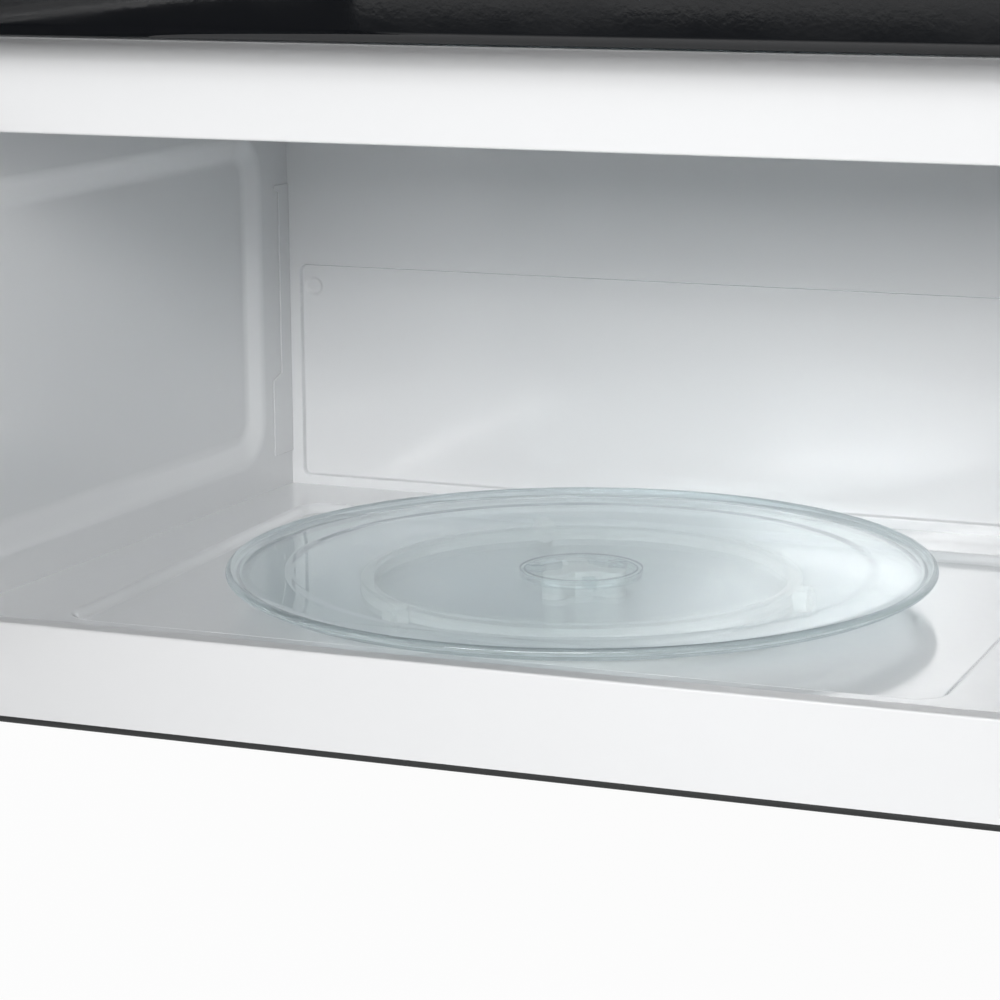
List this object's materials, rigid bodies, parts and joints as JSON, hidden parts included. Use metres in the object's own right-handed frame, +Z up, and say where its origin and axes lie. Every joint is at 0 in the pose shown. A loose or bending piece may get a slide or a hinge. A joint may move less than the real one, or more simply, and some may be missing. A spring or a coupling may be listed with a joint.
{
  "type": "over the range microwave",
  "caption": "Black over-the-range microwave oven and hood with white enamel cavity, open side-hinged door, glass turntable, filters and roof exhaust.",
  "frame": {"origin": "on the wall, at the middle of the width and level with the underside", "axes": "+Z up, +Y back towards the wall, so the front faces -Y, and +X to the right as seen from the front"},
  "size_m": [0.8115, 0.931, 0.4332],
  "materials": {
    "cavity_enamel": "glossy white enamel",
    "frame_enamel": "glossy white enamel",
    "case_paint": "satin black paint",
    "galvanised": "bare galvanised sheet",
    "black_gloss": "high gloss black",
    "black_matte": "matt black",
    "grey_plastic": "matt grey",
    "white_plastic": "matt white",
    "dark_glass": "tinted, clear",
    "tray_glass": "clear, faintly green",
    "lamp_glass": "frosted",
    "door_film": "clear film over a dark screen",
    "aluminium": "bare",
    "steel": "bare steel",
    "copper": "varnished wire",
    "rubber": "matt black",
    "board": "green laminate",
    "mica": "mica sheet",
    "charcoal": "charcoal felt in a black frame",
    "keypad": "satin membrane"
  },
  "bodies": {
    "case": {"wall_plate": "galvanised", "back_panel": "galvanised", "top_panel": "case_paint", "left_side_panel": "case_paint", "right_side_panel": "case_paint", "base_pan": "case_paint", "front_frame": "frame_enamel", "component_shelf": "galvanised", "cavity_floor": "cavity_enamel", "cavity_ceiling": "cavity_enamel", "cavity_left_wall": "cavity_enamel", "cavity_right_wall": "cavity_enamel", "cavity_back_wall": "cavity_enamel", "waveguide": "galvanised", "waveguide_cover": "mica", "magnetron_tube": "copper", "magnetron_fins": "aluminium", "magnetron_yoke": "galvanised", "transformer_core": "steel", "transformer_coils": "copper", "capacitor": "aluminium", "fan_shroud": "black_matte", "fan_motor": "steel", "turntable_motor": "galvanised", "blower_housing": "galvanised", "blower_motor": "steel", "exhaust_adaptor": "galvanised", "vent_grille": "black_gloss", "charcoal_filter": "charcoal", "cooktop_lamp_lens": "lamp_glass", "cooktop_lamp": "lamp_glass", "cavity_lamp": "galvanised", "cord_bushing": "rubber", "control_panel": "black_gloss", "display_window": "dark_glass", "keypad": "keypad", "control_board": "board", "latch_board": "white_plastic", "interlock_switches": "black_matte", "hinge_brackets": "steel", "grille_screws": "steel"},
    "coupler": {"drive_coupler": "white_plastic"},
    "tray": {"glass_tray": "tray_glass"},
    "ring": {"roller_ring": "white_plastic"},
    "roller_a": {"roller_1": "white_plastic"},
    "roller_b": {"roller_2": "white_plastic"},
    "roller_c": {"roller_3": "white_plastic"},
    "cooling_fan": {"fan_blade": "grey_plastic"},
    "blower": {"blower_wheels": "grey_plastic"},
    "damper": {"damper_flap": "galvanised"},
    "left_filter": {"grease_filter_left": "aluminium"},
    "right_filter": {"grease_filter_right": "aluminium"},
    "door": {"door_frame": "black_gloss", "door_window": "dark_glass", "door_choke": "black_matte", "choke_cover": "black_matte", "door_film": "door_film", "hinge_pins": "steel", "door_handle": "black_gloss"},
    "latch": {"latch_hooks": "black_matte"}
  },
  "joints": [
    {"name": "door_swing", "type": "hinge", "parent": "case", "child": "door", "pos_m": [-0.368, -0.37, 0.148], "axis": [0, 0, 1], "range_deg": [-15, 90]},
    {"name": "latch_lift", "type": "slide", "parent": "door", "child": "latch", "axis": [0, 0, 1], "range_m": [0, 0.004], "stiffness_N_per_m": 300, "springref_m": -0.003},
    {"name": "tray_spin", "type": "hinge", "parent": "case", "child": "coupler", "pos_m": [-0.097, -0.184, 0.04], "axis": [0, 0, 1], "continuous": true},
    {"name": "tray_lift", "type": "slide", "parent": "coupler", "child": "tray", "axis": [0, 0, 1], "range_m": [0, 0.04]},
    {"name": "ring_spin", "type": "hinge", "parent": "case", "child": "ring", "pos_m": [-0.097, -0.184, 0.0394], "axis": [0, 0, 1], "continuous": true},
    {"name": "roller_a_spin", "type": "hinge", "parent": "ring", "child": "roller_a", "pos_m": [0.007, -0.184, 0.0394], "axis": [1, 0, 0], "continuous": true},
    {"name": "roller_b_spin", "type": "hinge", "parent": "ring", "child": "roller_b", "pos_m": [-0.149, -0.09393, 0.0394], "axis": [-0.5, 0.866, 0], "continuous": true},
    {"name": "roller_c_spin", "type": "hinge", "parent": "ring", "child": "roller_c", "pos_m": [-0.149, -0.27407, 0.0394], "axis": [-0.5, -0.866, 0], "continuous": true},
    {"name": "cooling_fan_spin", "type": "hinge", "parent": "case", "child": "cooling_fan", "pos_m": [0.2995, -0.039, 0.18], "axis": [0, -1, 0], "continuous": true},
    {"name": "blower_spin", "type": "hinge", "parent": "case", "child": "blower", "pos_m": [0, -0.075, 0.33], "axis": [1, 0, 0], "continuous": true},
    {"name": "damper_swing", "type": "hinge", "parent": "case", "child": "damper", "pos_m": [0, -0.0362, 0.4192], "axis": [-1, 0, 0], "range_deg": [0, 75]},
    {"name": "left_filter_slide", "type": "slide", "parent": "case", "child": "left_filter", "axis": [0, 1, 0], "range_m": [0, 0.006]},
    {"name": "right_filter_slide", "type": "slide", "parent": "case", "child": "right_filter", "axis": [0, 1, 0], "range_m": [0, 0.006]}
  ],
  "couplings": [
    {"joint": "ring_spin", "follows": "tray_spin", "ratio": 0.5},
    {"joint": "roller_a_spin", "follows": "tray_spin", "ratio": -9.2857},
    {"joint": "roller_b_spin", "follows": "tray_spin", "ratio": -9.2857},
    {"joint": "roller_c_spin", "follows": "tray_spin", "ratio": -9.2857}
  ]
}
